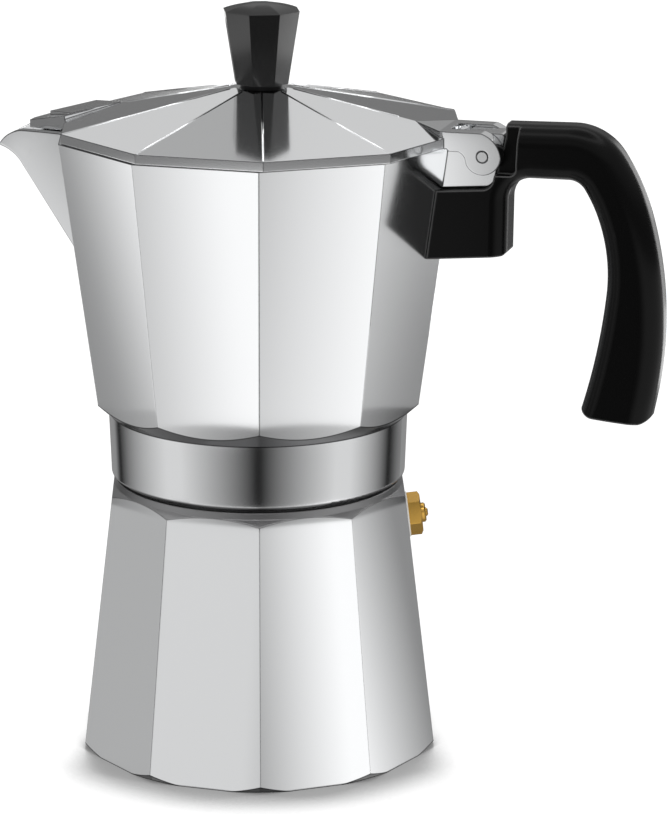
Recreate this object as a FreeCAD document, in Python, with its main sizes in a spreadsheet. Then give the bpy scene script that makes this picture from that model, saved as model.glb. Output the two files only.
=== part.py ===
import FreeCAD, Part
import math
import os
import re
import Sketcher

# Stove-top moka pot for about six small cups, in millimetres.
# The pot stands on z = 0 with its axis on z, the handle towards +x and the spout towards -x.
# Both chambers have ten facets, with corners on the x axis.

Vector = FreeCAD.Vector
doc = FreeCAD.newDocument("moka_pot")
sheet = doc.addObject("Spreadsheet::Sheet", "dims")

DIMENSIONS = {
    # Boiler: corner radii of its ten-sided outside, shoulder, neck and inside
    "facets": 10,
    "boiler_foot_corner": 50.25,
    "boiler_top_corner": 41.06,
    "foot_ring": 48.35,
    "foot_flare": 0.85,
    "shoulder_z": 74.2,
    "shoulder_corner_z": 69.35,
    "shoulder_corner_r": 44,
    "shoulder_bend_r": 39.25,
    "shoulder_bend_z": 72.5,
    "shoulder_r": 38.8,
    "neck_r": 35.1,
    "neck_bore": 32.5,
    "neck_top": 86,
    "boiler_floor": 3.5,
    "boiler_bore_low": 43.8,
    "boiler_bore_high": 36.9,
    "boiler_bore_high_z": 66,
    "boiler_throat_z": 71,
    # Thread between the boiler's neck and the collector's collar
    "thread_pitch": 4,
    "thread_depth": 1,
    "thread_crest": 1.1,
    "thread_root": 2,
    "thread_bite": 0.3,
    "neck_thread_z": 77,
    "neck_thread_turns": 1.8,
    "collar_thread_z": 79.35,
    "collar_thread_turns": 1.25,
    # Safety valve, along its own axis with zero on the boiler's facet
    "valve_angle": 18,
    "valve_z": 62,
    "valve_hole": 4.05,
    "valve_shank": 3.98,
    "valve_inner_end": 7.5,
    "valve_hex_corner": 5.9,
    "valve_hex_top": 4,
    "valve_washer_r": 6.2,
    "valve_washer_thick": 0.5,
    "valve_bore": 2.75,
    "valve_port": 1.3,
    "valve_seat": 6,
    "valve_cap_r": 2.68,
    "valve_cap_low": 1.5,
    "valve_cap_top": 5.2,
    "valve_stem": 1.2,
    "valve_stem_top": 5.8,
    "valve_disc": 2.5,
    "valve_disc_thick": 1.3,
    "spring_wire": 0.28,
    "spring_r": 2,
    "spring_turns": 5,
    # Funnel
    "flange_r": 34.6,
    "flange_thick": 1,
    "basket_top_r": 30.9,
    "basket_low_r": 30.3,
    "basket_wall": 0.9,
    "basket_low_z": 60,
    "basket_cone_z": 54.5,
    "tube_r": 5.4,
    "tube_bore": 4.5,
    "tube_low": 7,
    "tube_neck_low": 49,
    "strainer_r": 29.2,
    "strainer_z": 60.4,
    "strainer_thick": 0.8,
    "strainer_hole": 0.85,
    # Gasket and filter plate
    "gasket_r": 35.2,
    "gasket_bore": 27.6,
    "gasket_thick": 3,
    "filter_r": 29.6,
    "filter_thick": 0.8,
    "filter_hole": 0.75,
    # Collector
    "collar_bore": 36.6,
    "collar_low_z": 75,
    "collar_low_r": 38.7,
    "collar_round": 1.1,
    "collar_r": 39.8,
    "collar_top_r": 40.4,
    "collar_top_z": 92.7,
    "flare_bend_r": 42.5,
    "flare_bend_z": 94.6,
    "flare_out_r": 49,
    "flare_out_z": 100.5,
    "vessel_low_corner": 44.37,
    "vessel_top_corner": 54.57,
    "vessel_top": 168.13,
    "vessel_wall": 2.8,
    "vessel_floor": 95.5,
    "vessel_roof": 180,
    "chamber_r": 28,
    "chamber_top": 92.6,
    "column_seat": 6.5,
    "column_low_r": 8,
    "column_top_r": 6,
    "column_bore": 4,
    "column_top": 150,
    "column_cap": 1.6,
    "outlet_low": 139,
    "outlet_high": 146,
    "outlet_half": 2,
    # Spout: keel line in the plane y = 0, half angle across it, wall and rim
    "keel_low_x": -45.75,
    "keel_low_z": 124,
    "keel_bend_x": -67,
    "keel_bend_z": 156.1,
    "keel_tip_x": -72.8,
    "keel_tip_z": 160.4,
    "keel_mid_x": -69.65,
    "keel_mid_z": 158.76,
    "spout_half_angle": 37.9,
    "spout_nose": 3,
    "spout_wall": 2.2,
    "spout_arm": 26,
    "rim_root_x": -48.95,
    "rim_root_z": 168.1,
    "rim_bend_x": -64,
    "rim_bend_z": 166.55,
    "rim_mid_x": -68.7,
    "rim_mid_z": 164.6,
    # Hinge lug and its pin
    "pin_x": 63.6,
    "pin_z": 166.6,
    "pin_r": 1.5,
    "pin_hole": 1.56,
    "pin_half": 8.95,
    "lug_low": 156.7,
    "lug_low_out": 157.8,
    "lug_end": 65.9,
    "lug_corner": 2.9,
    "lug_shoulder_z": 167.1,
    "lug_gap": 0.3,
    "tongue_half": 3.9,
    "tongue_swing": 7.5,
    "tongue_end": 68.3,
    "tongue_top": 172,
    "tongue_round": 1,
    # Lid
    "lid_shift": 1.2,
    "lid_corner": 54.93,
    "lid_low": 168.23,
    "lid_edge": 170.8,
    "plateau_corner": 7.5,
    "plateau_z": 180.4,
    "lid_rim_width": 2.4,
    "lid_thick": 1.7,
    "ear_half": 8.7,
    "ear_gap_half": 4.2,
    "ear_r": 4.85,
    "ear_top": 172.7,
    "ear_arm_low": 167.55,
    "ear_slot_x": 54,
    "gusset_apex_x": 43.4,
    "gusset_apex_z": 173.4,
    "cover_tip_x": -63.7,
    "cover_tip_half": 1.8,
    "cover_tip_z": 168.2,
    "cover_root_x": -49.8,
    "cover_root_half": 12.2,
    "cover_root_z": 171.75,
    "cover_thick": 2.1,
    "roof_tip_x": -58.5,
    "roof_tip_z": 170.6,
    "roof_side_x": -49,
    "roof_side_half": 10.1,
    "roof_side_z": 172.3,
    "roof_apex_x": -38.4,
    "roof_apex_z": 174.2,
    # Knob
    "knob_washer_r": 5.6,
    "knob_washer_thick": 1,
    "knob_low_corner": 7.4,
    "knob_corner": 10.55,
    "knob_shoulder": 200.7,
    "knob_dome_corner": 8.2,
    "knob_dome_z": 201.5,
    "knob_crown_corner": 5,
    "knob_crown_z": 202.25,
    "knob_tip_corner": 1.2,
    "knob_top": 202.68,
    "knob_screw_r": 1.95,
    "knob_screw_hole": 2,
    "knob_screw_head": 3.6,
    "knob_screw_head_thick": 2.2,
    "knob_screw_reach": 9,
    # Handle
    "handle_half": 7.0,
    "handle_round": 5.6,
    "handle_top_in": 174.5,
    "handle_top_out": 175.05,
    "handle_top_out_x": 85.6,
    "handle_web_half": 3.8,
    "handle_notch_x": 72.6,
    "handle_notch_z": 161.5,
    "block_low_in": 138.0,
    "block_low_out": 140.0,
    "block_x": 69.1,
    "block_corner": 1,
    "gap_top": 160.7,
    "gap_round": 6,
    "gap_out_x": 85.5,
    "gap_turn_x": 89.6,
    "gap_turn_z": 158.6,
    "gap_edge_round": 4.3,
    "grip_start_x": 93.2,
    "grip_start_z": 151.5,
    "grip_mid_x": 95.9,
    "grip_mid_z": 131,
    "grip_end_x": 90.4,
    "grip_end_z": 102,
    "tip_in_z": 98.4,
    "tip_out_x": 105.6,
    "tip_out_z": 97.5,
    "back_low_x": 109.1,
    "back_low_z": 103.0,
    "back_high_x": 107.1,
    "back_high_z": 150.9,
    "back_turn_x": 99.2,
    "back_turn_z": 168.0,
    "handle_gap": 0.15,
    "handle_screw_x": 59.6,
    "handle_screw_r": 1.95,
    "handle_screw_hole": 2.05,
    "handle_screw_head": 3.4,
    "handle_screw_head_hole": 3.7,
    "handle_screw_head_thick": 2.6,
    "handle_screw_seat": 146,
    "handle_screw_top": 163.6,
}
for number, (alias, value) in enumerate(DIMENSIONS.items(), start=1):
    sheet.set(f"A{number}", alias)
    sheet.set(f"B{number}", str(value))
    sheet.setAlias(f"B{number}", alias)
doc.recompute()

FACETS = int(DIMENSIONS["facets"])
FACET_ANGLE = 360 / FACETS
KNOB_SIDES = 8
SMOOTH = "smooth"
HEX_SIDES = 6


def bind(text):
    """Expression in which every alias points at its cell."""
    return re.sub(r"[a-z_]+", lambda word: "dims." + word[0] if word[0] in DIMENSIONS else word[0], str(text))


def size(text):
    """Number that an expression stands for."""
    return float(sheet.evalExpression(bind(text)))


def new_body(label):
    body = doc.addObject("PartDesign::Body", label)
    body.Label = label
    return body


def new_sketch(body, name, plane="XZ_Plane", height="0"):
    """Sketch on one of the body's origin planes, moved along the plane's normal."""
    sketch = body.newObject("Sketcher::SketchObject", name)
    support = [feature for feature in body.Origin.OriginFeatures if feature.Role == plane]
    sketch.AttachmentSupport = [(support[0], "")]
    sketch.MapMode = "FlatFace"
    sketch.setExpression("AttachmentOffset.Base.z", bind(height))
    return sketch


def hold(sketch, geometry, point, place):
    """Tie a point of the sketch to two expressions."""
    for axis, text in zip(("DistanceX", "DistanceY"), place):
        tie = sketch.addConstraint(Sketcher.Constraint(axis, -1, 1, geometry, point, size(text)))
        sketch.setExpression(f"Constraints[{tie}]", bind(text))


def smooth_via(start, way, end):
    """Point half way along the arc that leaves start along a direction and arrives in end."""
    chord = end - start
    turn = way.getAngle(chord) * (1 if way.cross(chord).z > 0 else -1)
    lift = chord.Length / 2 * math.tan(turn / 2)
    return (start + end) * 0.5 + Vector(chord.y, -chord.x, 0) * (lift / chord.Length)


def outline(sketch, *corners):
    """Closed outline of lines and arcs, listed by the corners in which they end.

    A corner is (x, y) for a line, (x, y, via_x, via_y) for an arc through a point, or
    (x, y, SMOOTH) for an arc that carries on from the piece before it without a bend.
    """
    spots = [Vector(size(corner[0]), size(corner[1]), 0) for corner in corners]
    first = sketch.GeometryCount
    count = len(corners)
    vias = {}
    backwards = set()
    way = spots[0] - spots[-1]
    for number, corner in enumerate(corners):
        start, end = spots[number - 1], spots[number]
        if len(corner) == 2:
            sketch.addGeometry(Part.LineSegment(start, end))
            way = end - start
            continue
        if corner[2] == SMOOTH:
            via = smooth_via(start, way, end)
        else:
            via = Vector(size(corner[2]), size(corner[3]), 0)
        arc = Part.Arc(start, via, end)
        sketch.addGeometry(arc)
        if len(corner) == 4:
            vias[first + number] = (corner[2:], via)
        left = (via - start).cross(end - via).z > 0
        if not left:
            backwards.add(first + number)
        radius = end - arc.toShape().Curve.Center
        way = Vector(-radius.y, radius.x, 0) * (1 if left else -1)

    def end_point(geometry):
        return 1 if geometry in backwards else 2

    for number in range(count):
        here, after = first + number, first + (number + 1) % count
        kind = "Tangent" if SMOOTH in corners[(number + 1) % count] else "Coincident"
        sketch.addConstraint(Sketcher.Constraint(kind, here, end_point(here), after, 3 - end_point(after)))
    for number, corner in enumerate(corners):
        hold(sketch, first + number, end_point(first + number), corner[:2])
    for geometry, (place, via) in vias.items():
        spot = sketch.addGeometry(Part.Point(via), True)
        hold(sketch, spot, 1, place)
        sketch.addConstraint(Sketcher.Constraint("PointOnObject", spot, 1, geometry))
    return sketch


def circle(sketch, x, y, radius):
    ring = sketch.addGeometry(Part.Circle(Vector(size(x), size(y), 0), Vector(0, 0, 1), size(radius)))
    hold(sketch, ring, 3, (x, y))
    tie = sketch.addConstraint(Sketcher.Constraint("Radius", ring, size(radius)))
    sketch.setExpression(f"Constraints[{tie}]", bind(radius))
    return sketch


def polygon(body, name, corner, height, sides=FACETS, shift="0"):
    """Regular polygon on a level plane, with a corner towards +x."""
    step = 360 / sides
    points = [(f"{shift} + ({corner}) * cos({k * step})", f"({corner}) * sin({k * step})")
              for k in range(sides)]
    return outline(new_sketch(body, name, "XY_Plane", height), *points)


def changed(body, before, cut):
    """Recompute, and stop if a feature left the body's volume as it was or moved it the wrong way."""
    doc.recompute()
    after = body.Shape.Volume
    if (after >= before - 1e-6) if cut else (after <= before + 1e-6):
        raise RuntimeError(f"{body.Label}: {body.Tip.Name} changed nothing")


def volume(body):
    return body.Shape.Volume if body.Tip and not body.Shape.isNull() else 0.0


def revolve(body, sketch, cut=False):
    before = volume(body)
    kind = "PartDesign::Groove" if cut else "PartDesign::Revolution"
    feature = body.newObject(kind, sketch.Name + "_turned")
    feature.Profile = sketch
    feature.ReferenceAxis = (sketch, ["V_Axis"])
    changed(body, before, cut)
    return feature


def extrude(body, sketch, length=None, cut=False, both=True, reverse=False):
    """Pad or pocket of a sketch; no length means through all."""
    before = volume(body)
    feature = body.newObject("PartDesign::Pocket" if cut else "PartDesign::Pad", sketch.Name + "_run")
    feature.Profile = sketch
    feature.Reversed = reverse
    if both:
        feature.SideType = "Symmetric"
    if length is None:
        feature.Type = "ThroughAll"
    else:
        feature.setExpression("Length", bind(length))
    changed(body, before, cut)
    return feature


def loft(body, sketches, cut=False, ruled=True):
    before = volume(body)
    kind = "PartDesign::SubtractiveLoft" if cut else "PartDesign::AdditiveLoft"
    feature = body.newObject(kind, sketches[0].Name + "_loft")
    feature.Profile = sketches[0]
    feature.Sections = sketches[1:]
    feature.Ruled = ruled
    changed(body, before, cut)
    return feature


def thread(body, name, root_r, crest_r, start_z, turns, cut=False):
    """Helical ridge, or groove, of trapezium section on the body's axis."""
    before = volume(body)
    half_root, half_crest = "thread_root / 2", "thread_crest / 2"
    ridge = outline(new_sketch(body, name),
                    (root_r, f"{start_z} - {half_root}"), (crest_r, f"{start_z} - {half_crest}"),
                    (crest_r, f"{start_z} + {half_crest}"), (root_r, f"{start_z} + {half_root}"))
    kind = "PartDesign::SubtractiveHelix" if cut else "PartDesign::AdditiveHelix"
    helix = body.newObject(kind, name + "_wound")
    helix.Profile = ridge
    helix.ReferenceAxis = (ridge, ["V_Axis"])
    helix.Mode = "pitch-turns-angle"
    helix.setExpression("Pitch", bind("thread_pitch"))
    helix.setExpression("Turns", bind(turns))
    changed(body, before, cut)


def holes(body, name, height, rings, radius, depth):
    """Rings of round holes through a level plate: pairs of pitch radius and count."""
    for number, (pitch, count) in enumerate(rings):
        spot = circle(new_sketch(body, f"{name}_{number}", "XY_Plane", height), pitch, "0", radius)
        pocket = extrude(body, spot, depth, cut=True, both=False)
        before = volume(body)
        pattern = body.newObject("PartDesign::PolarPattern", f"{name}_ring_{number}")
        pattern.Originals = [pocket]
        pattern.Axis = (spot, ["N_Axis"])
        pattern.Angle = 360
        pattern.Occurrences = count
        body.Tip = pattern
        changed(body, before, True)


def joined(kind, label, shapes):
    """Part boolean of several objects: the first is the base."""
    result = doc.addObject(kind, label)
    if kind == "Part::Cut":
        result.Base, result.Tool = shapes
    else:
        result.Shapes = shapes
    result.Label = label
    doc.recompute()
    return result


def edges_where(body, test):
    """Names of the edges of the body's shape whose middle passes the test."""
    return [f"Edge{n}" for n, edge in enumerate(body.Shape.Edges, start=1) if test(edge)]


def round_edges(body, name, radius, test):
    base, edges, before = body.Tip, edges_where(body, test), volume(body)
    fillet = body.newObject("PartDesign::Fillet", name)
    fillet.Base = (base, edges)
    fillet.setExpression("Radius", bind(radius))
    changed(body, before, True)
    return fillet


def move_x(body, distance):
    body.setExpression("Placement.Base.x", bind(distance))
    doc.recompute()
    return body


def middle(edge):
    return edge.valueAt((edge.FirstParameter + edge.LastParameter) / 2)


# Boiler

def make_boiler():
    body = new_body("boiler")
    loft(body, [polygon(body, "boiler_foot", "boiler_foot_corner", "0"),
                polygon(body, "boiler_shoulder", "boiler_top_corner", "shoulder_z")])
    revolve(body, outline(new_sketch(body, "foot_flare_cut"),
                          ("foot_ring", "0"), ("foot_ring + 8", "0"),
                          ("foot_ring + 8", "8 / foot_flare")), cut=True)
    revolve(body, outline(new_sketch(body, "shoulder_cut"),
                          ("shoulder_corner_r", "shoulder_corner_z"), ("shoulder_corner_r", "shoulder_z + 1"),
                          ("shoulder_r", "shoulder_z + 1"), ("shoulder_r", "shoulder_z"),
                          ("shoulder_bend_r", "shoulder_bend_z")), cut=True)
    revolve(body, outline(new_sketch(body, "neck"),
                          ("neck_bore", "shoulder_z - 1"), ("neck_r", "shoulder_z - 1"),
                          ("neck_r", "neck_top"), ("neck_bore", "neck_top")))
    revolve(body, outline(new_sketch(body, "boiler_inside"),
                          ("0", "boiler_floor"), ("boiler_bore_low - 3", "boiler_floor"),
                          ("boiler_bore_low", "boiler_floor + 3"), ("boiler_bore_high", "boiler_bore_high_z"),
                          ("neck_bore", "boiler_throat_z"), ("neck_bore", "neck_top + 1"),
                          ("0", "neck_top + 1")),
            cut=True)
    thread(body, "neck_thread", "neck_r - thread_bite", "neck_r + thread_depth",
           "neck_thread_z", "neck_thread_turns")
    before = volume(body)
    hole = body.newObject("PartDesign::SubtractiveCylinder", "valve_hole_cut")
    support = [feature for feature in body.Origin.OriginFeatures if feature.Role == "XY_Plane"]
    hole.AttachmentSupport = [(support[0], "")]
    hole.MapMode = "FlatFace"
    hole.setExpression("Radius", bind("valve_hole"))
    hole.setExpression("Height", bind("valve_inner_end * 3"))
    inner_end = VALVE_PLACE.multVec(Vector(0, 0, -2 * size("valve_inner_end")))
    hole.AttachmentOffset = FreeCAD.Placement(inner_end, VALVE_PLACE.Rotation)
    changed(body, before, True)
    return body


# Safety valve, made along z and then placed square to its facet

def valve_place():
    slope = (size("boiler_foot_corner") - size("boiler_top_corner")) / size("shoulder_z")
    flat = math.cos(math.radians(FACET_ANGLE / 2))
    apothem = (size("boiler_foot_corner") - slope * size("valve_z")) * flat
    tilt = math.atan(slope * flat)
    turn = math.radians(size("valve_angle"))
    spot = Vector(apothem * math.cos(turn), apothem * math.sin(turn), size("valve_z"))
    normal = Vector(math.cos(tilt) * math.cos(turn), math.cos(tilt) * math.sin(turn), math.sin(tilt))
    return FreeCAD.Placement(spot, FreeCAD.Rotation(Vector(0, 0, 1), normal))


VALVE_PLACE = valve_place()


def make_valve_washer():
    body = new_body("valve_washer")
    revolve(body, outline(new_sketch(body, "washer_section"),
                          ("valve_hole", "0"), ("valve_washer_r", "0"),
                          ("valve_washer_r", "valve_washer_thick"), ("valve_hole", "valve_washer_thick")))
    body.Placement = VALVE_PLACE
    return body


def make_valve_body():
    body = new_body("valve_body")
    extrude(body, polygon(body, "valve_hex", "valve_hex_corner", "valve_washer_thick", HEX_SIDES),
            "valve_hex_top - valve_washer_thick", both=False)
    revolve(body, outline(new_sketch(body, "hex_crown"),
                          ("valve_hex_corner - 0.9", "valve_hex_top"),
                          ("valve_hex_corner + 1", "valve_hex_top - 1.1"),
                          ("valve_hex_corner + 1", "valve_hex_top")), cut=True)
    revolve(body, outline(new_sketch(body, "valve_shank_section"),
                          ("0", "-valve_inner_end"), ("valve_shank - 0.5", "-valve_inner_end"),
                          ("valve_shank", "0.5 - valve_inner_end"), ("valve_shank", "valve_washer_thick"),
                          ("0", "valve_washer_thick")))
    revolve(body, outline(new_sketch(body, "valve_bore_section"),
                          ("0", "-valve_inner_end - 1"), ("valve_port", "-valve_inner_end - 1"),
                          ("valve_port", "-valve_seat"), ("valve_bore", "-valve_seat"),
                          ("valve_bore", "valve_hex_top + 1"), ("0", "valve_hex_top + 1")), cut=True)
    body.Placement = VALVE_PLACE
    return body


def make_valve_retainer():
    body = new_body("valve_retainer")
    revolve(body, outline(new_sketch(body, "cap_section"),
                          ("valve_stem + 0.08", "valve_cap_low"), ("valve_cap_r", "valve_cap_low"),
                          ("valve_cap_r", "valve_cap_top - 0.4"), ("valve_cap_r - 0.4", "valve_cap_top"),
                          ("valve_stem + 0.08", "valve_cap_top")))
    body.Placement = VALVE_PLACE
    return body


def make_valve_plunger():
    body = new_body("valve_plunger")
    revolve(body, outline(new_sketch(body, "plunger_section"),
                          ("0", "0.05 - valve_seat"), ("valve_disc", "0.05 - valve_seat"),
                          ("valve_disc", "valve_disc_thick - valve_seat"),
                          ("valve_stem", "valve_disc_thick - valve_seat"),
                          ("valve_stem", "valve_stem_top - 0.4"),
                          ("valve_stem - 0.4", "valve_stem_top"), ("0", "valve_stem_top")))
    body.Placement = VALVE_PLACE
    return body


def biarc(start, start_way, end, end_way):
    """Two arcs that leave and arrive along the given directions."""
    chord = end - start
    both = start_way + end_way
    a = 2 * (1 - start_way.dot(end_way))
    b = 2 * chord.dot(both)
    reach = (-b + math.sqrt(b * b + 4 * a * chord.dot(chord))) / (2 * a)
    knee_a, knee_b = start + start_way * reach, end - end_way * reach
    join = (knee_a + knee_b) * 0.5

    def arc(first, way, last):
        across = last - first
        normal = way.cross(across).cross(way)
        normal.normalize()
        radius = across.dot(across) / (2 * across.dot(normal))
        centre = first + normal * radius
        mid = (first + last) * 0.5 - centre
        mid.normalize()
        return Part.Arc(first, centre + mid * radius, last).toShape()

    knee = knee_b - knee_a
    knee.normalize()
    return [arc(start, start_way, join), arc(join, knee, end)]


def make_valve_spring():
    """Round wire wound between the plunger's disc and the cap, as one unbroken tube."""
    wire, mean, turns = size("spring_wire"), size("spring_r"), int(size("spring_turns"))
    low = size("valve_disc_thick - valve_seat") + wire
    high = size("valve_cap_low") - wire
    pitch = (high - low) / turns
    climb = pitch / (2 * math.pi)

    def spot(angle):
        return Vector(mean * math.cos(angle), mean * math.sin(angle), low + climb * angle)

    def way(angle):
        tangent = Vector(-mean * math.sin(angle), mean * math.cos(angle), climb)
        tangent.normalize()
        return tangent

    quarter = math.pi / 2
    edges = []
    for number in range(4 * turns):
        here, there = number * quarter, (number + 1) * quarter
        edges += biarc(spot(here), way(here), spot(there), way(there))
    section = Part.Wire([Part.makeCircle(wire, spot(0), way(0))])
    tube = Part.Wire(edges).makePipeShell([section], True, False)
    steps = [spot(k * quarter / 8) for k in range(32 * turns)]
    least = min(steps[a].distanceToPoint(steps[b])
                for a in range(len(steps)) for b in range(a + 20, len(steps)))
    print(f"valve spring: least gap between turns {least - 2 * wire:.2f} mm")
    spring = doc.addObject("Part::Feature", "valve_spring")
    spring.Label = "valve_spring"
    spring.Shape = tube
    spring.Placement = VALVE_PLACE
    return spring


# Funnel

def make_funnel_basket():
    body = new_body("funnel_basket")
    revolve(body, outline(
        new_sketch(body, "basket_section"),
        ("flange_r", "neck_top"), ("flange_r", "neck_top + flange_thick"),
        ("basket_top_r - basket_wall", "neck_top + flange_thick"),
        ("basket_low_r - basket_wall", "basket_low_z"),
        ("tube_r + 0.05 + basket_wall", "basket_cone_z + basket_wall"),
        ("tube_r + 0.05", "basket_cone_z + basket_wall"), ("tube_r + 0.05", "tube_neck_low"),
        ("tube_r + 0.05 + basket_wall", "tube_neck_low"), ("tube_r + 0.05 + basket_wall", "basket_cone_z"),
        ("basket_low_r", "basket_low_z - basket_wall"), ("basket_top_r", "neck_top")))
    return body


def make_funnel_tube():
    body = new_body("funnel_tube")
    revolve(body, outline(new_sketch(body, "tube_section"),
                          ("tube_bore", "tube_low"), ("tube_r", "tube_low"),
                          ("tube_r", "basket_cone_z + basket_wall"),
                          ("tube_bore", "basket_cone_z + basket_wall")))
    return body


def make_funnel_strainer():
    body = new_body("funnel_strainer")
    extrude(body, circle(new_sketch(body, "strainer_disc", "XY_Plane", "strainer_z"), "0", "0", "strainer_r"),
            "strainer_thick", both=False)
    rings = [("0.2 * strainer_r", 6), ("0.4 * strainer_r", 12),
             ("0.6 * strainer_r", 18), ("0.8 * strainer_r", 24)]
    holes(body, "strainer_hole_row", "strainer_z + strainer_thick", rings,
          "strainer_hole", "2 * strainer_thick")
    return body


# Gasket and filter plate

def make_gasket():
    body = new_body("gasket")
    low = "neck_top + flange_thick"
    revolve(body, outline(new_sketch(body, "gasket_section"),
                          ("gasket_bore", low), ("gasket_r", low),
                          ("gasket_r", low + " + gasket_thick"), ("gasket_bore", low + " + gasket_thick")))
    return body


FILTER_LOW = "neck_top + flange_thick + gasket_thick"


def make_filter_plate():
    body = new_body("filter_plate")
    extrude(body, circle(new_sketch(body, "filter_disc", "XY_Plane", FILTER_LOW), "0", "0", "filter_r"),
            "filter_thick", both=False)
    rings = [("0.16 * filter_r", 6), ("0.34 * filter_r", 12), ("0.52 * filter_r", 18), ("0.7 * filter_r", 24),
             ("0.86 * filter_r", 30)]
    holes(body, "filter_hole_row", FILTER_LOW + " + filter_thick", rings, "filter_hole", "2 * filter_thick")
    return body


# Collector

def vessel_corner(height, inset="0"):
    """Corner radius of the vessel's outside at a height, less an inset."""
    rise = f"(({height}) - collar_top_z) / (vessel_top - collar_top_z)"
    return f"vessel_low_corner + (vessel_top_corner - vessel_low_corner) * {rise} - ({inset})"


def make_vessel_outside():
    body = new_body("vessel_outside")
    loft(body, [polygon(body, "vessel_low", "vessel_low_corner", "collar_top_z"),
                polygon(body, "vessel_rim", "vessel_top_corner", "vessel_top")])
    revolve(body, outline(new_sketch(body, "flare_cut"),
                          ("collar_top_r", "collar_top_z"), ("flare_out_r", "collar_top_z"),
                          ("flare_out_r", "flare_out_z"), ("flare_bend_r", "flare_bend_z")), cut=True)
    revolve(body, outline(new_sketch(body, "collar"),
                          ("0", "collar_low_z"), ("collar_low_r", "collar_low_z"),
                          ("collar_r", "collar_low_z + collar_round",
                           "collar_r - 0.29 * collar_round", "collar_low_z + 0.29 * collar_round"),
                          ("collar_top_r", "collar_top_z"), ("0", "collar_top_z")))
    bend = "0.29 * tongue_round"
    extrude(body, outline(
        new_sketch(body, "lug_tongue"),
        ("pin_x - 14", "lug_low"), ("lug_end - lug_corner", "lug_low_out"),
        ("lug_end", "lug_low_out + lug_corner",
         "lug_end - 0.29 * lug_corner", "lug_low_out + 0.29 * lug_corner"),
        ("tongue_end", "tongue_top - tongue_round"),
        ("tongue_end - tongue_round", "tongue_top", f"tongue_end - {bend}", f"tongue_top - {bend}"),
        ("pin_x - tongue_swing * cos(44 deg)", "tongue_top"),
        ("pin_x - tongue_swing * cos(13 deg)", "pin_z + tongue_swing * sin(13 deg)",
         "pin_x - tongue_swing * cos(28 deg)", "pin_z + tongue_swing * sin(28 deg)"),
        ("pin_x - tongue_swing * cos(13 deg)", "lug_shoulder_z"),
        ("pin_x - 14", "lug_shoulder_z")), "2 * tongue_half")
    extrude(body, circle(new_sketch(body, "lug_pin_hole"), "pin_x", "pin_z", "pin_r + 0.01"), cut=True)
    extrude(body, circle(new_sketch(body, "lug_screw_hole", "XY_Plane", "lug_low"),
                         "handle_screw_x", "0", "handle_screw_r + 0.02"),
            "handle_screw_top + 0.5 - lug_low", cut=True, both=False, reverse=True)
    return body


def keel_way():
    along = Vector(size("keel_bend_x - keel_low_x"), 0, size("keel_bend_z - keel_low_z"))
    along.normalize()
    return along


def make_spout_form(label, inset, nose):
    """Rounded V section run along the keel."""
    body = new_body(label)
    path = new_sketch(body, label + "_keel")
    straight = path.addGeometry(Part.LineSegment(Vector(size("keel_low_x"), size("keel_low_z"), 0),
                                                 Vector(size("keel_bend_x"), size("keel_bend_z"), 0)))
    bend = path.addGeometry(Part.Arc(Vector(size("keel_bend_x"), size("keel_bend_z"), 0),
                                     Vector(size("keel_mid_x"), size("keel_mid_z"), 0),
                                     Vector(size("keel_tip_x"), size("keel_tip_z"), 0)))
    path.addConstraint(Sketcher.Constraint("Coincident", straight, 2, bend, 1))
    path.addConstraint(Sketcher.Constraint("Tangent", straight, bend))
    hold(path, straight, 1, ("keel_low_x", "keel_low_z"))
    hold(path, straight, 2, ("keel_bend_x", "keel_bend_z"))
    hold(path, bend, 2, ("keel_tip_x", "keel_tip_z"))

    section = new_sketch(body, label + "_section", "XY_Plane")
    along = keel_way()
    inward = Vector(along.z, 0, -along.x)
    frame = FreeCAD.Rotation(Vector(0, -1, 0), inward, along, "ZXY")
    section.setExpression("AttachmentOffset.Base.z", None)
    section.AttachmentOffset = FreeCAD.Placement(Vector(size("keel_low_x"), 0, size("keel_low_z")), frame)
    half = "spout_half_angle"
    apex = f"({inset}) / sin({half}) - spout_nose * (1 / sin({half}) - 1)"
    touch = f"({nose}) / tan({half})"
    arm = "spout_arm"
    right = (f"{touch} * sin({half})", f"{apex} + {touch} * cos({half})")
    left = (f"-({right[0]})", right[1])
    outline(section,
            (f"{arm} * tan({half})", f"{apex} + {arm}"), (f"-{arm} * tan({half})", f"{apex} + {arm}"),
            left, (right[0], right[1], "0", f"{apex} + ({nose}) * (1 / sin({half}) - 1)"))
    pipe = body.newObject("PartDesign::AdditivePipe", label + "_run")
    pipe.Profile = section
    pipe.Spine = path
    doc.recompute()
    return body


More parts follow.
